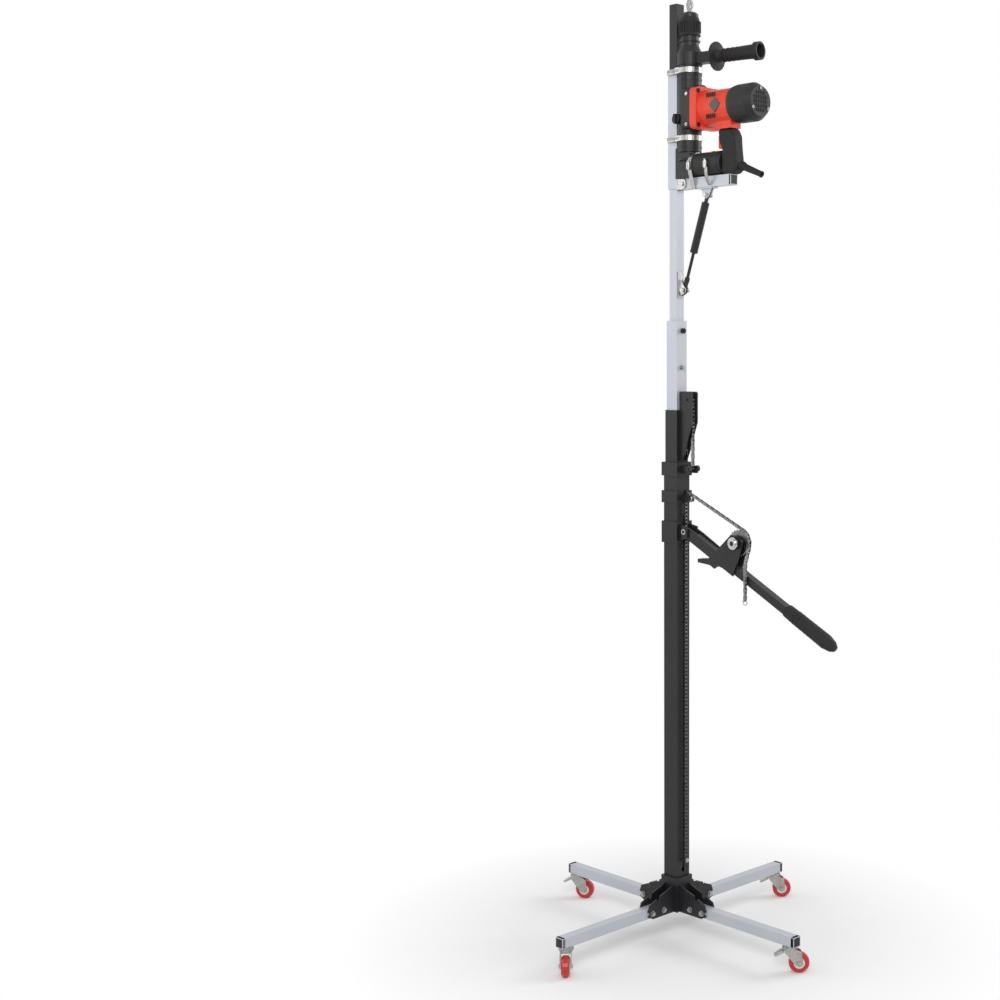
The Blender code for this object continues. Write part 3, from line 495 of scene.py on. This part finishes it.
# %% [markdown]
# ## The chain's anchor
# The lift chain ends under a hex-headed bolt in the middle column's foot, with a washer under the head.

# %% Anchor bolt
bm = bmesh.new()
anchor_z = lift_low + 0.006
disc(bm, (near_run - 0.0055, 0, anchor_z), 0.0032, 0.011, "X", 12)
disc(bm, (near_run + 0.0055, 0, anchor_z), 0.0056, 0.0012, "X", 20)
disc(bm, (near_run + 0.0072, 0, anchor_z), 0.0042, 0.0030, "X", 6)
piece("chain_anchor_bolt", bm, "mid_stage", zinc_plate)

# %% [markdown]
# ## Sprocket teeth and ratchet ring
# The sprocket is a toothed disc that the chain wraps. Teeth are short cones, set round its rim so that one of
# the chain's rollers sits midway between two of them. A bright ring round a hex nut shows on the near side,
# where the ratchet turns it.

# %% Teeth and ring
bm = bmesh.new()
TEETH = round(math.tau * TOOTH_WRAP / PITCH)
pin_reach = [math.hypot(pin.x - sprocket.x, pin.z - sprocket.z) for pin in lever_pins]
on_wheel = [pin for pin, reach in zip(lever_pins, pin_reach) if abs(reach - TOOTH_WRAP) < 1e-3]
seat_pin = on_wheel[len(on_wheel) // 2]
first_roller = math.atan2(seat_pin.z - sprocket.z, seat_pin.x - sprocket.x)
for tooth in range(TEETH):
    angle = first_roller + math.tau * (tooth + 0.5) / TEETH
    out = Vector((math.cos(angle), 0, math.sin(angle)))
    turn = out.to_track_quat("Z", "Y").to_matrix().to_4x4()
    disc(bm, sprocket + out * 0.0312, 0.0016, 0.0058, steps=8, top=0.0008, turn=turn)
piece("sprocket_teeth", bm, "sprocket", chain_steel)
print("teeth", TEETH)

bm = bmesh.new()
near_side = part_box("ratchet_frame")[0][1]
ring(bm, (sprocket.x, near_side + 0.0045, sprocket.z), 0.0085, 0.0150, 0.0030, "Y")
ring(bm, (sprocket.x, near_side + 0.0018, sprocket.z), 0.0060, 0.0110, 0.0028, "Y")
disc(bm, (sprocket.x, near_side + 0.0030, sprocket.z), 0.0048, 0.0056, "Y", 6)
piece("ratchet_ring", bm, "lever", chrome_plate, smooth=False)

# %% [markdown]
# ## Worm-drive clamps
# A perforated band with a screw housing holds the hammer to its sleeve. The frame has the bands, so this adds
# the housing, its slotted screw, and the row of slots that the screw's thread bites.

# %% Clamp screws
def worm_drive(bm, low, high, angle):
    """The housing and screw beside a band whose box is given, at an angle round it."""
    centre = (Vector(low) + Vector(high)) / 2
    size = Vector(high) - Vector(low)
    height = size.z
    out = Vector((math.cos(angle), math.sin(angle), 0))
    across = Vector((-out.y, out.x, 0))
    seat = centre + Vector((0, out.y * (size.y / 2 - 0.004), 0)) + Vector((out.x * 0.010, 0, 0))
    turn = Matrix((across, out, Vector((0, 0, 1)))).transposed().to_4x4()
    turn.translation = seat
    bar(bm, (-0.0075, -0.002, -height * 0.62), (0.0075, 0.0035, height * 0.62), 0.0010, turn)
    axis_turn = turn @ AXIS_TURN["X"]
    disc(bm, (0, 0, 0), 0.0030, 0.019, turn=axis_turn, steps=14)
    head = turn @ Matrix.Translation((0.0105, 0, 0)) @ AXIS_TURN["X"]
    disc(bm, (0, 0, 0), 0.0040, 0.0030, turn=head, steps=6)


def band_slots(bm, low, high, count):
    """A row of raised thread marks along the band's near side."""
    height = high[2] - low[2]
    mid = (low[2] + high[2]) / 2
    for index in range(count):
        x = low[0] + 0.014 + index * 0.0042
        bar(bm, (x, low[1] - 0.0002, mid - height * 0.28), (x + 0.0014, low[1] + 0.0008, mid + height * 0.28))


for node in ("upper_hose_clamp", "lower_hose_clamp"):
    low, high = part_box(node)
    bm = bmesh.new()
    worm_drive(bm, low, high, -math.pi / 2)
    piece(f"{node}_screw", bm, "carriage", zinc_plate)
    bm = bmesh.new()
    band_slots(bm, low, high, 9)
    piece(f"{node}_thread", bm, "carriage", chain_steel)

# %% [markdown]
# Two bands go over the lower grip. The frame has one, and the second, nearer the rear, also goes round the
# arm. It is spun as a thin ring and drawn down to an oval, so that it passes under the arm.

# %% Second grip clamp
arm_low, arm_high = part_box("support_arm")
grip_low, grip_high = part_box("lower_body")
clamp_x = grip_low[0] + 0.060
top_z = grip_high[2] + 0.0009
foot_z = arm_low[2] - 0.0009
bm = bmesh.new()
clamp_radius = (top_z - foot_z) / 2
CLAMP_HALF_WIDTH = 0.0305
ring(bm, (clamp_x, 0, (top_z + foot_z) / 2), clamp_radius - 0.0006, clamp_radius, 0.010, "X", 40)
bmesh.ops.scale(bm, vec=(1, CLAMP_HALF_WIDTH / clamp_radius, 1), verts=bm.verts)
piece("arm_hose_clamp", bm, "carriage", zinc_plate, smooth=True)

bm = bmesh.new()
for x in (middle("grip_hose_clamp").x, clamp_x):
    bar(bm, (x - 0.0055, -0.0345, 1.852), (x + 0.0055, -0.0290, 1.868), 0.0010)
    disc(bm, (x, -0.0325, 1.860), 0.0030, 0.020, "Z", 14)
    disc(bm, (x, -0.0325, 1.8705), 0.0040, 0.0030, "Z", 6)
piece("grip_clamp_screws", bm, "carriage", zinc_plate)

# %% [markdown]
# ## The drill bit
# A masonry bit is a bar with two flutes that wind round it. A four-lobed outline turns as it rises, so spin
# with a lift makes the flutes. Its shank is a plain bar, and a carbide plate is set across its tip.

# %% Helical bit
bit_low, bit_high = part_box("drill_bit")
bit_centre = middle("drill_bit")
bit_radius = (bit_high[0] - bit_low[0]) / 2
flute_from = bit_low[2] + 0.052
flute_to = bit_high[2] - 0.006
bm = bmesh.new()
outline = []
OUTLINE_POINTS = 24
for index in range(OUTLINE_POINTS):
    angle = math.tau * index / OUTLINE_POINTS
    lobe = 0.5 + 0.5 * math.cos(2 * angle)
    radius = bit_radius * (0.60 + 0.39 * lobe**0.6)
    x = bit_centre.x + radius * math.cos(angle)
    y = bit_centre.y + radius * math.sin(angle)
    outline.append(bm.verts.new((x, y, flute_from)))
bit_edges = [bm.edges.new((outline[i], outline[(i + 1) % OUTLINE_POINTS])) for i in range(OUTLINE_POINTS)]
STEPS = 60
FLUTE_TURNS = 2.6
rise = (flute_to - flute_from) / STEPS
bmesh.ops.spin(
    bm, geom=outline + bit_edges, cent=(bit_centre.x, bit_centre.y, 0), axis=(0, 0, 1),
    angle=math.tau * FLUTE_TURNS, steps=STEPS, dvec=(0, 0, rise),
)
bmesh.ops.holes_fill(bm, edges=[edge for edge in bm.edges if edge.is_boundary], sides=0)
shank_z = (bit_low[2] + flute_from) / 2
disc(bm, (bit_centre.x, bit_centre.y, shank_z), bit_radius * 0.72, flute_from - bit_low[2])
disc(bm, (bit_centre.x, bit_centre.y, flute_to + 0.003), bit_radius * 0.95, 0.006, top=bit_radius * 0.25)
bar(
    bm,
    (bit_centre.x - bit_radius * 0.92, -0.0010, flute_to - 0.003),
    (bit_centre.x + bit_radius * 0.92, 0.0010, bit_high[2] - 0.0004),
)
twist = piece("helical_bit", bm, "bit", ground_steel)
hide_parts("drill_bit")

# %% [markdown]
# ## Chuck and side handle
# Fingers pull the chuck's sleeve down, so it has broad grip ribs round it. The side handle has low rings
# round its rubber. Both are small bars or discs set just proud of the frame's smooth shapes.

# %% Knurl and rings
sleeve_low, sleeve_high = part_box("chuck_sleeve")
sleeve_centre = middle("chuck_sleeve")
bm = bmesh.new()
RIBS = 22
for index in range(RIBS):
    turn = Matrix.Translation((sleeve_centre.x, 0, 0)) @ Matrix.Rotation(math.tau * index / RIBS, 4, "Z")
    bar(
        bm, (0.0245, -0.0016, sleeve_low[2] + 0.008), (0.0271, 0.0016, sleeve_high[2] - 0.010), 0.0006, turn
    )
piece("chuck_ribs", bm, "chuck_sleeve", rubber)
bm = bmesh.new()
ring(bm, (sleeve_centre.x, 0, sleeve_low[2] - 0.0125), 0.0222, 0.0255, 0.0035)
piece("chuck_neck_ring", bm, "carriage", cast_black)

handle_low, handle_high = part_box("side_handle")
HANDLE_TURN = math.radians(9)
handle_along = Vector((math.cos(HANDLE_TURN), math.sin(HANDLE_TURN), 0))
handle_turn = handle_along.to_track_quat("Z", "Y").to_matrix().to_4x4()
handle_z = (handle_low[2] + handle_high[2]) / 2
bm = bmesh.new()
for index in range(7):
    out = 0.1450 + index * 0.0125 - sleeve_centre.x
    centre = Vector((sleeve_centre.x, 0, handle_z)) + handle_along * out
    disc(bm, centre, 0.0163, 0.0040, turn=handle_turn, steps=28)
piece("handle_grip_rings", bm, "carriage", rubber)
print("handle from", round(handle_low[0], 3), "to", round(handle_high[0], 3))

# %% [markdown]
# ## Motor details
# The red housing meets the gear case on a square flange with a screw in each corner, and has cooling slots.
# A plain diamond plate marks each side. The black end cap has a grid of vents and three screws.

# %% Flange screws and vents
motor_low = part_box("motor_housing")[0]
cap_low, cap_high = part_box("motor_cap")
motor_z = middle("motor_cap").z
flange_end = motor_low[0] + 0.021
bm = bmesh.new()
for side in (1, -1):
    for up in (1, -1):
        centre = (flange_end + 0.0012, side * 0.038, motor_z - 0.001 + up * 0.040)
        disc(bm, centre, 0.0052, 0.0040, "X", 16)
        disc(bm, (centre[0] + 0.0022, centre[1], centre[2]), 0.0026, 0.0020, "X", 6)
piece("flange_screws", bm, "carriage", black_plastic)

bm = bmesh.new()
for side in (1, -1):
    for index in range(5):
        x = flange_end + 0.024 + index * 0.0062
        for row in (0.024, -0.024):
            y = side * 0.0333
            bar(bm, (x, min(y, y + side * 0.003), motor_z + row - 0.006),
                (x + 0.0030, max(y, y + side * 0.003), motor_z + row + 0.006), 0.0005)
piece("motor_vents", bm, "carriage", black_plastic)

# %% Plain badge plates
bm = bmesh.new()
for side in (1, -1):
    badge_place = Matrix.Translation((flange_end + 0.055, side * 0.0402, motor_z))
    turn = badge_place @ Matrix.Rotation(math.pi / 4, 4, "Y")
    bar(bm, (-0.0125, -0.0012, -0.0125), (0.0125, 0.0012, 0.0125), 0.0005, turn)
piece("badge_plates", bm, "carriage", badge_gloss)

# %% Cap vents
bm = bmesh.new()
vent_x = cap_high[0]
for column in range(6):
    for row in range(5):
        y = -0.0200 + column * 0.0080
        z = motor_z - 0.0200 + row * 0.0100
        if math.hypot(y, z - motor_z) > 0.028:
            continue
        bar(bm, (vent_x - 0.0010, y - 0.0029, z - 0.0038), (vent_x + 0.0010, y + 0.0029, z + 0.0038))
piece("cap_vent_bars", bm, "carriage", rubber)
bm = bmesh.new()
for index in range(3):
    angle = math.radians(90 + 120 * index)
    y, z = 0.0305 * math.cos(angle), 0.0305 * math.sin(angle)
    disc(bm, (cap_high[0] - 0.0004, y, motor_z + z), 0.0042, 0.0036, "X", 14)
piece("cap_screws", bm, "carriage", chain_steel)
bm = bmesh.new()
for index in range(16):
    turn = Matrix.Translation((0, 0, motor_z)) @ Matrix.Rotation(math.tau * (index + 0.5) / 16, 4, "X")
    bar(bm, (cap_low[0] + 0.020, -0.0022, 0.0436), (cap_high[0] - 0.020, 0.0022, 0.0449), 0.0005, turn)
piece("cap_ribs", bm, "carriage", black_plastic)

# %% [markdown]
# ## Gear case ribs
# The cast gear case is stiffened by raised bands, held by cap screws along its split. They keep to the case's
# own depth, so that the bands stay inside the clamps.

# %% Case bands
gear_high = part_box("gear_housing")[1]
case_x = middle("chuck_neck").x
bm = bmesh.new()
for z in (gear_high[2] - 0.022, gear_high[2] - 0.034, 1.950, 1.908, 1.878):
    ring(bm, (case_x, 0, z), 0.0270, 0.0300, 0.0045, "Z", 36)
piece("case_bands", bm, "carriage", cast_black, smooth=False)
bm = bmesh.new()
for z in (2.030, 1.958):
    for side in (1, -1):
        disc(bm, (case_x + 0.024, side * 0.0368, z), 0.0042, 0.0030, "Y", 14)
        disc(bm, (case_x + 0.024, side * 0.0386, z), 0.0022, 0.0016, "Y", 6)
piece("case_screws", bm, "carriage", zinc_plate)

# %% [markdown]
# ## Tube plugs
# Every open tube end has a black push-in plug. A plug is a thin square with its corners rounded, just inside
# the end of the tube, so the rig's overall size does not change.

# %% Leg and arm plugs
LEG_ENDS = {"right": (1, 0), "rear": (0, 1), "left": (-1, 0), "front": (0, -1)}
for name, (east, north) in LEG_ENDS.items():
    low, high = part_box(f"{name}_leg")
    reach = max(abs(v) for v in (low[0], low[1], high[0], high[1]))
    turn = Matrix.Rotation(math.atan2(north, east), 4, "Z")
    bm = bmesh.new()
    bar(bm, (reach - 0.010, -0.0125, low[2]), (reach - 0.0002, 0.0125, high[2]), 0.0012, turn)
    plug = piece(f"{name}_leg_plug", bm, f"{name}_leg", black_plastic)
bm = bmesh.new()
plug_low = (arm_high[0] - 0.006, -0.0126, arm_low[2] - 0.0001)
plug_high = (arm_high[0] - 0.0002, 0.0126, arm_high[2])
bar(bm, plug_low, plug_high, 0.0010)
piece("arm_plug", bm, "carriage", black_plastic)

# %% [markdown]
# ## Hub bolts
# The legs turn on bolts through the hub's cheeks, and a second bolt locks each one straight. Heads and nuts
# are hexagons on thin washers, standing just outside the plates.

# %% Bolts through the cheeks
bm = bmesh.new()
leg_mid = middle("right_leg").z
cheek_out = 0.0125 + 0.0005 + 0.004
for name, (east, north) in LEG_ENDS.items():
    turn = Matrix.Rotation(math.atan2(north, east), 4, "Z")
    for reach in (0.064, 0.104):
        for side in (1, -1):
            for radius, depth, steps, out in ((0.0075, 0.0012, 20, 0.0006), (0.0058, 0.0046, 6, 0.0034)):
                place = turn @ Matrix.Translation((reach, side * (cheek_out + out), leg_mid)) @ AXIS_TURN["Y"]
                disc(bm, (0, 0, 0), radius, depth, turn=place, steps=steps)
piece("hub_bolts", bm, "column", zinc_plate)

# %% [markdown]
# ## Mast bolts
# The mast is pinned into the inner column by wing bolts on two levels, so it can be set to suit a ceiling.
# The frame has the upper one, and this adds the lower pair and all their washers.

# %% Wing bolts
bm = bmesh.new()
bolt_z = middle("mast_bolt").z
for z in (bolt_z, bolt_z - 0.090):
    for side in (1, -1):
        disc(bm, (side * 0.0184, 0, z), 0.0064, 0.0014, "X", 18)
        if z < bolt_z:
            disc(bm, (side * 0.0225, 0, z), 0.0034, 0.0080, "X", 12)
            disc(bm, (side * 0.0246, 0, z), 0.0056, 0.0040, "X", 6)
piece("mast_bolt_washers", bm, "inner_stage", zinc_plate)

# %% [markdown]
# ## Casters
# A caster has a ball race under its plate, a white ring beside the tread, and a nut on each end of its axle.
# These are small shapes in the caster's own direction, which is read from the wheel's place.

# %% Caster details
for name, (east, north) in LEG_ENDS.items():
    swivel = Vector((east * 0.378, north * 0.378, 0))
    wheel = middle(f"{name}_wheel")
    heading = Vector((wheel.x - swivel.x, wheel.y - swivel.y, 0)).normalized()
    across = Vector((-heading.y, heading.x, 0))
    turn = across.to_track_quat("Z", "Y").to_matrix().to_4x4()
    bm = bmesh.new()
    ring(bm, (swivel.x, swivel.y, -0.0030), 0.0120, 0.0186, 0.0030, "Z", 28)
    disc(bm, (swivel.x, swivel.y, -0.0012), 0.0150, 0.0012, "Z", 28)
    for side in (1, -1):
        place = Matrix.Translation(wheel + across * side * 0.0155) @ turn
        disc(bm, (0, 0, 0), 0.0056, 0.0030, turn=place, steps=6)
    piece(f"{name}_caster_race", bm, f"{name}_caster", zinc_plate)
    bm = bmesh.new()
    for side in (1, -1):
        place = Matrix.Translation(wheel + across * side * 0.0101) @ turn
        disc(bm, (0, 0, 0), 0.0135, 0.0010, turn=place, steps=28)
    piece(f"{name}_wheel_ring", bm, f"{name}_wheel", white_nylon)

# %% [markdown]
# ## Lever grip and pivot nuts
# The lever's rubber grip has shallow rings, and its pivot a hex nut on a washer at each side. Its end has a
# rounded button, and the clamps have round-headed screws, which are not added here.

# %% Lever grip rings
LEVER_SLOPE = math.radians(27)
down_lever = Vector((math.cos(LEVER_SLOPE), 0, -math.sin(LEVER_SLOPE)))
grip_turn = down_lever.to_track_quat("Z", "Y").to_matrix().to_4x4()
pivot_point = Vector((0.044, 0, 0.971))
bm = bmesh.new()
for index in range(7):
    disc(bm, pivot_point + down_lever * (0.392 + index * 0.0125), 0.0176, 0.0026, turn=grip_turn, steps=26)
piece("lever_grip_rings", bm, "lever", rubber)

bm = bmesh.new()
for side in (1, -1):
    disc(bm, (0.044, side * 0.0190, 0.971), 0.0075, 0.0060, "Y", 6)
    disc(bm, (0.044, side * 0.0165, 0.971), 0.0098, 0.0012, "Y", 20)
piece("lever_pivot_nuts", bm, "column", zinc_plate)

# %% [markdown]
# ## Strut fittings
# A gas strut has a crimped collar where its rod comes out and an eye at each end. The rod and cylinder are in
# the frame, so this adds the collars and the pin heads.

# %% Strut collar and pins
strut_top = Vector((0.104, 0, 1.790))
strut_foot = Vector((0.027, 0, 1.565))
strut_along = (strut_top - strut_foot).normalized()
strut_turn = strut_along.to_track_quat("Z", "Y").to_matrix().to_4x4()
bm = bmesh.new()
cylinder_end = strut_top - strut_along * 0.143
disc(bm, cylinder_end + strut_along * 0.003, 0.0094, 0.0060, turn=strut_turn, steps=24, top=0.0098)
disc(bm, strut_top - strut_along * 0.020, 0.0094, 0.0040, turn=strut_turn, steps=24)
piece("strut_collars", bm, "strut_cylinder", black_coat)
bm = bmesh.new()
for side in (1, -1):
    disc(bm, (strut_top.x, side * 0.0118, strut_top.z), 0.0054, 0.0028, "Y", 18)
piece("strut_pin_heads", bm, "carriage", zinc_plate)
bm = bmesh.new()
for side in (1, -1):
    disc(bm, (strut_foot.x, side * 0.0112, strut_foot.z), 0.0054, 0.0028, "Y", 18)
piece("strut_foot_heads", bm, "inner_stage", zinc_plate)

# %% [markdown]
# ## Floor, light and camera
# The floor is a pale sheet. Three large soft lamps keep the black parts readable, and the world is white only
# for what the camera and reflections see. The camera looks down a little, with the
# column on the lens's centre line so that it stays upright.

# %% Floor
bm = bmesh.new()
bmesh.ops.create_grid(bm, x_segments=1, y_segments=1, size=12, matrix=Matrix.Translation((0, 0, cad_low[2])))
floor_finish, floor_shader, floor_root = start("studio_floor")
connect(floor_shader, floor_root, colour=(0.96, 0.96, 0.96, 1), roughness=0.75 + noise(floor_root, 4) * 0.1)
floor_place = floor_root.node("ShaderNodeTexCoord", out=3)
floor_reach = floor_root.node("ShaderNodeVectorMath", {"operation": "LENGTH"}, {0: floor_place}, out=1)
floor_seen = floor_root.node("ShaderNodeLightPath")
floor_glossy = floor_root.node("ShaderNodeLightPath", out=3)
floor_through = floor_root.node("ShaderNodeLightPath", out=6)
floor_shown = floor_root.math("MAXIMUM", floor_root.math("MAXIMUM", floor_seen, floor_glossy), floor_through)
fade = (floor_reach * 0.25).ramp(0.10, 0.21) * floor_shown
floor_glow = floor_root.node("ShaderNodeEmission", sockets={"Color": (1, 1, 1, 1), "Strength": 1.0})
floor_lit = Wire(floor_root.tree, floor_shader.outputs[0])
floor_mix = floor_root.node("ShaderNodeMixShader", sockets={0: fade, 1: floor_lit, 2: floor_glow})
floor_end = floor_root.tree.nodes["Material Output"].inputs["Surface"]
floor_root.tree.links.new(floor_mix.output, floor_end)
floor_mesh = piece("studio_floor", bm, None, floor_finish)
floor_mesh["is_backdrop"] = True

# %% World and lamps
world = bpy.data.worlds.new("studio")
bpy.context.scene.world = world
world.use_nodes = True
studio = Wire(world.node_tree)
seen = studio.node("ShaderNodeLightPath")
glossy = studio.node("ShaderNodeLightPath", out=3)
through = studio.node("ShaderNodeLightPath", out=6)
shown = studio.math("MAXIMUM", studio.math("MAXIMUM", seen, glossy), through)
world.node_tree.nodes["Background"].inputs["Color"].default_value = (1, 1, 1, 1)
strength = 0.55 + shown * 0.45
world.node_tree.links.new(strength.output, world.node_tree.nodes["Background"].inputs["Strength"])


def lamp(name, place, aim, size, power):
    light = bpy.data.lights.new(name, "AREA")
    light.shape = "DISK"
    light.size = size
    light.energy = power
    lamp_object = bpy.data.objects.new(name, light)
    bpy.context.scene.collection.objects.link(lamp_object)
    lamp_object.location = place
    lamp_object.rotation_euler = (Vector(aim) - Vector(place)).to_track_quat("-Z", "Y").to_euler()
    print(name, power, "W")


lamp("key_lamp", (2.6, -2.8, 3.0), (0, 0, 1.2), 2.2, 62)
lamp("fill_lamp", (-2.8, -2.2, 2.0), (0, 0, 1.1), 2.6, 22)
lamp("rim_lamp", (1.4, 3.0, 2.6), (0, 0, 1.4), 2.0, 40)

# %% Camera
AZIMUTH = math.radians(44.31)
TILT = math.radians(-5.15)
DISTANCE = 3.926
CAMERA_HEIGHT = 1.40
lens = bpy.data.cameras.new("camera")
lens.sensor_width = 36
lens.lens = 56.82
lens.shift_x = -0.1767
camera = bpy.data.objects.new("camera", lens)
bpy.context.scene.collection.objects.link(camera)
camera.location = (math.sin(AZIMUTH) * DISTANCE, -math.cos(AZIMUTH) * DISTANCE, CAMERA_HEIGHT)
camera.rotation_euler = (math.pi / 2 + TILT, 0, AZIMUTH)
bpy.context.scene.camera = camera
bpy.context.scene.view_settings.view_transform = "Standard"
print("camera at", [round(v, 3) for v in camera.location])

# %% [markdown]
# ## Measure the size
# The finished model's box is measured, and how far it grows past the frame's box on each axis is printed in
# millimetres. The finished model has to stay inside the frame's box.

# %% Measure and finish
low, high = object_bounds()
boxes = {"cad": [list(cad_low), list(cad_high)], "model": [list(low), list(high)]}
boxes = {key: [[float(v) for v in corner] for corner in box] for key, box in boxes.items()}
grown = [round(max(a - b, d - c) * 1000, 2) for a, b, c, d in zip(cad_low, low, cad_high, high)]
print("grown past the frame, mm:", grown)
